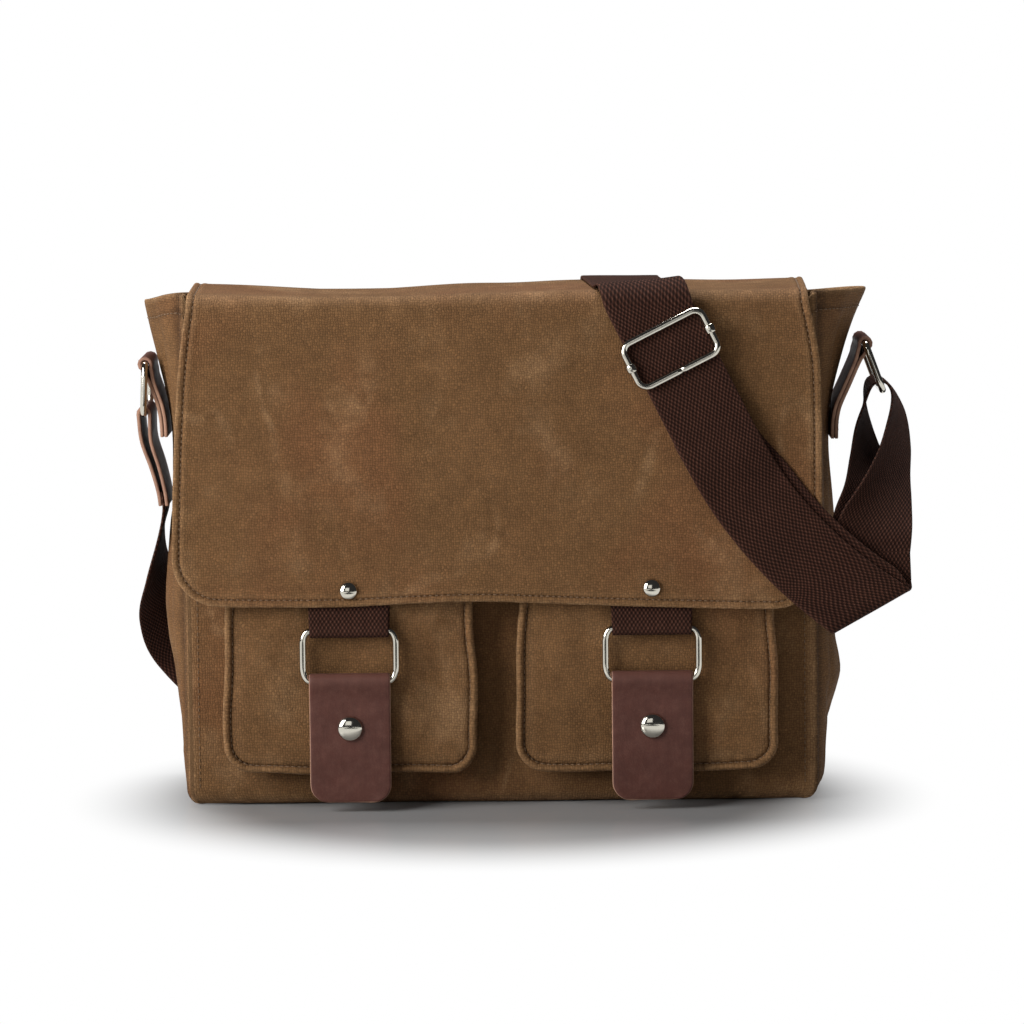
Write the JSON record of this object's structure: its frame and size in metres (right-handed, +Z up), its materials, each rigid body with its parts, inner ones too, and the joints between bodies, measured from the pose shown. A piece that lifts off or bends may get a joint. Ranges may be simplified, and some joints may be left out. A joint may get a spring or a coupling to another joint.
{
  "type": "messenger bag",
  "caption": "Canvas shoulder bag with front flap, two front pockets, ring-and-leather snap closures and an adjustable webbing strap.",
  "frame": {"origin": "centre of the base panel's outer face, on the ground", "axes": "+X to the right seen from the front, the front faces -Y, +Z up"},
  "size_m": [0.3954, 0.145, 0.2649],
  "materials": {
    "waxed_canvas": "waxed cotton canvas, plain weave, scuffed",
    "lining_cotton": "plain cotton",
    "webbing": "coarse woven cotton webbing, dark burgundy brown",
    "leather": "satin, pale raw cut edges",
    "nickel": "polished nickel plate",
    "board": "matt"
  },
  "bodies": {
    "bag": {"front_panel": "waxed_canvas", "back_panel": "waxed_canvas", "base_panel": "waxed_canvas", "base_board": "board", "lining": "lining_cotton", "gusset_left": "waxed_canvas", "gusset_right": "waxed_canvas", "pocket_front_left": "waxed_canvas", "pocket_front_right": "waxed_canvas", "pocket_gusset_left": "waxed_canvas", "pocket_gusset_right": "waxed_canvas", "snap_stud_left": "nickel", "snap_stud_right": "nickel", "snap_stud_washer_left": "nickel", "snap_stud_washer_right": "nickel", "side_tab_left": "leather", "side_tab_right": "leather", "strap_back_run": "webbing"},
    "flap": {"flap_outer": "waxed_canvas", "flap_lining": "lining_cotton", "closure_web_left": "webbing", "closure_web_right": "webbing", "flap_rivet_left": "nickel", "flap_rivet_right": "nickel", "flap_rivet_burr_left": "nickel", "flap_rivet_burr_right": "nickel", "strap_front_main": "webbing", "strap_front_return": "webbing"},
    "slider": {"slider_frame": "nickel"},
    "slider_bar_body": {"slider_bar": "nickel", "strap_end_loop": "webbing"},
    "closure_ring_left_body": {"closure_ring_left": "nickel"},
    "closure_ring_right_body": {"closure_ring_right": "nickel"},
    "closure_tab_left_body": {"closure_tab_left": "leather", "snap_cap_left": "nickel", "snap_socket_left": "nickel"},
    "closure_tab_right_body": {"closure_tab_right": "leather", "snap_cap_right": "nickel", "snap_socket_right": "nickel"},
    "side_ring_left_body": {"side_ring_left": "nickel", "strap_end_leather": "leather"},
    "side_ring_right_body": {"side_ring_right": "nickel", "strap_loop_right": "webbing"}
  },
  "joints": [
    {"name": "flap_open", "type": "hinge", "parent": "bag", "child": "flap", "pos_m": [0, 0.051, 0.252], "axis": [-1, 0, 0], "range_deg": [0, 110]},
    {"name": "slider_slide", "type": "slide", "parent": "flap", "child": "slider", "axis": [0.4462, -0.1153, -0.8875], "range_m": [-0.004, 0.016]},
    {"name": "slider_bar_shift", "type": "slide", "parent": "slider", "child": "slider_bar_body", "axis": [0.4462, -0.1153, -0.8875], "range_m": [-0.003, 0.003]},
    {"name": "closure_ring_left_swing", "type": "hinge", "parent": "flap", "child": "closure_ring_left_body", "pos_m": [-0.0755, -0.0719, 0.091], "axis": [-1, 0, 0], "range_deg": [0, 75]},
    {"name": "closure_tab_left_swing", "type": "hinge", "parent": "closure_ring_left_body", "child": "closure_tab_left_body", "pos_m": [-0.0755, -0.0719, 0.066], "axis": [-1, 0, 0], "range_deg": [0, 100]},
    {"name": "closure_ring_right_swing", "type": "hinge", "parent": "flap", "child": "closure_ring_right_body", "pos_m": [0.075, -0.0719, 0.091], "axis": [-1, 0, 0], "range_deg": [0, 75]},
    {"name": "closure_tab_right_swing", "type": "hinge", "parent": "closure_ring_right_body", "child": "closure_tab_right_body", "pos_m": [0.075, -0.0719, 0.066], "axis": [-1, 0, 0], "range_deg": [0, 100]},
    {"name": "side_ring_left_swing", "type": "hinge", "parent": "bag", "child": "side_ring_left_body", "pos_m": [-0.1785, 0, 0.221], "axis": [0, 1, 0], "range_deg": [0, 35]},
    {"name": "side_ring_right_swing", "type": "hinge", "parent": "bag", "child": "side_ring_right_body", "pos_m": [0.185, 0, 0.228], "axis": [0, -1, 0], "range_deg": [0, 35]}
  ]
}
